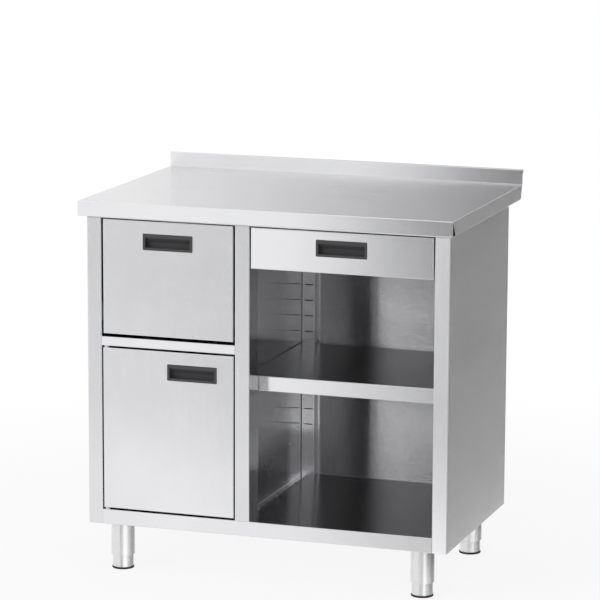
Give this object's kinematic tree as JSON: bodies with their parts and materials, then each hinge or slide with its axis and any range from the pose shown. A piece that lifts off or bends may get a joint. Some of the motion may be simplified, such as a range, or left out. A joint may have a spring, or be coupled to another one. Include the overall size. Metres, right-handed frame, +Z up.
{
  "type": "coffee machine cabinet",
  "caption": "Stainless cabinet that carries a coffee machine: worktop with upstand, grounds and utensil drawers, hinged door, open bay with a shelf, adjustable legs.",
  "frame": {"origin": "on the floor under the centre of the worktop's outline", "axes": "+Z up, -Y towards the front, +X towards the open bay, on the right as seen from the front"},
  "size_m": [1.02, 0.69, 1.04],
  "materials": {
    "worktop_steel": "fine brushed finish along the length",
    "panel_steel": "fine brushed finish, vertical grain",
    "front_steel": "fine brushed finish, horizontal grain",
    "inner_steel": "smooth rolled finish",
    "tube_steel": "polished along the round",
    "zinc_steel": "zinc plated",
    "handle_plastic": "matt, fine texture",
    "pad_plastic": "matt",
    "bush_nylon": "smooth",
    "magnet_plastic": "smooth",
    "sleeve_rubber": "matt"
  },
  "bodies": {
    "cabinet": {"worktop": "worktop_steel", "worktop_stiffeners": "inner_steel", "side_panel_left": "panel_steel", "side_panel_right": "panel_steel", "partition": "panel_steel", "back_panel": "inner_steel", "bottom_panel": "panel_steel", "base_channels": "inner_steel", "mid_rail": "panel_steel", "top_rail_left": "panel_steel", "top_rail_right": "panel_steel", "upright_left": "inner_steel", "upright_right": "inner_steel", "shelf_clips": "zinc_steel", "runner_spacer_grounds": "inner_steel", "runner_spacer_utensil_left": "inner_steel", "runner_spacer_utensil_right": "inner_steel", "door_bushes": "bush_nylon", "catch_magnet": "magnet_plastic", "leg_front_left": "tube_steel", "leg_front_right": "tube_steel", "leg_rear_left": "tube_steel", "leg_rear_right": "tube_steel", "grounds_runner_outer_left": "zinc_steel", "grounds_runner_outer_right": "zinc_steel", "utensil_runner_outer_left": "zinc_steel", "utensil_runner_outer_right": "zinc_steel"},
    "grounds_middle_members": {"grounds_runner_middle_left": "zinc_steel", "grounds_runner_middle_right": "zinc_steel"},
    "grounds_drawer": {"grounds_front": "front_steel", "grounds_box": "inner_steel", "grounds_handle": "handle_plastic", "knock_bar": "tube_steel", "knock_sleeve": "sleeve_rubber", "grounds_runner_inner_left": "zinc_steel", "grounds_runner_inner_right": "zinc_steel"},
    "utensil_middle_members": {"utensil_runner_middle_left": "zinc_steel", "utensil_runner_middle_right": "zinc_steel"},
    "utensil_drawer": {"utensil_front": "front_steel", "utensil_box": "inner_steel", "utensil_handle": "handle_plastic", "utensil_runner_inner_left": "zinc_steel", "utensil_runner_inner_right": "zinc_steel"},
    "door": {"door_skin": "front_steel", "door_liner": "inner_steel", "door_handle": "handle_plastic", "door_pins": "zinc_steel", "catch_plate": "zinc_steel"},
    "shelf": {"shelf": "panel_steel"},
    "foot_front_left": {"foot_front_left": "tube_steel", "pad_front_left": "pad_plastic"},
    "foot_front_right": {"foot_front_right": "tube_steel", "pad_front_right": "pad_plastic"},
    "foot_rear_left": {"foot_rear_left": "tube_steel", "pad_rear_left": "pad_plastic"},
    "foot_rear_right": {"foot_rear_right": "tube_steel", "pad_rear_right": "pad_plastic"}
  },
  "joints": [
    {"name": "grounds_drawer_slide", "type": "slide", "parent": "cabinet", "child": "grounds_drawer", "axis": [0, -1, 0], "range_m": [0, 0.45]},
    {"name": "grounds_members_slide", "type": "slide", "parent": "cabinet", "child": "grounds_middle_members", "axis": [0, -1, 0], "range_m": [0, 0.225]},
    {"name": "utensil_drawer_slide", "type": "slide", "parent": "cabinet", "child": "utensil_drawer", "axis": [0, -1, 0], "range_m": [0, 0.45]},
    {"name": "utensil_members_slide", "type": "slide", "parent": "cabinet", "child": "utensil_middle_members", "axis": [0, -1, 0], "range_m": [0, 0.225]},
    {"name": "door_hinge", "type": "hinge", "parent": "cabinet", "child": "door", "pos_m": [-0.4445, -0.309, 0.39], "axis": [0, 0, -1], "range_deg": [0, 105]},
    {"name": "shelf_lift", "type": "slide", "parent": "cabinet", "child": "shelf", "axis": [0, 0, 1], "range_m": [0, 0.08]},
    {"name": "front_left_foot_screw", "type": "slide", "parent": "cabinet", "child": "foot_front_left", "axis": [0, 0, -1], "range_m": [-0.01, 0.035]},
    {"name": "front_right_foot_screw", "type": "slide", "parent": "cabinet", "child": "foot_front_right", "axis": [0, 0, -1], "range_m": [-0.01, 0.035]},
    {"name": "rear_left_foot_screw", "type": "slide", "parent": "cabinet", "child": "foot_rear_left", "axis": [0, 0, -1], "range_m": [-0.01, 0.035]},
    {"name": "rear_right_foot_screw", "type": "slide", "parent": "cabinet", "child": "foot_rear_right", "axis": [0, 0, -1], "range_m": [-0.01, 0.035]}
  ],
  "couplings": [
    {"joint": "grounds_members_slide", "follows": "grounds_drawer_slide", "ratio": 0.5},
    {"joint": "utensil_members_slide", "follows": "utensil_drawer_slide", "ratio": 0.5}
  ]
}
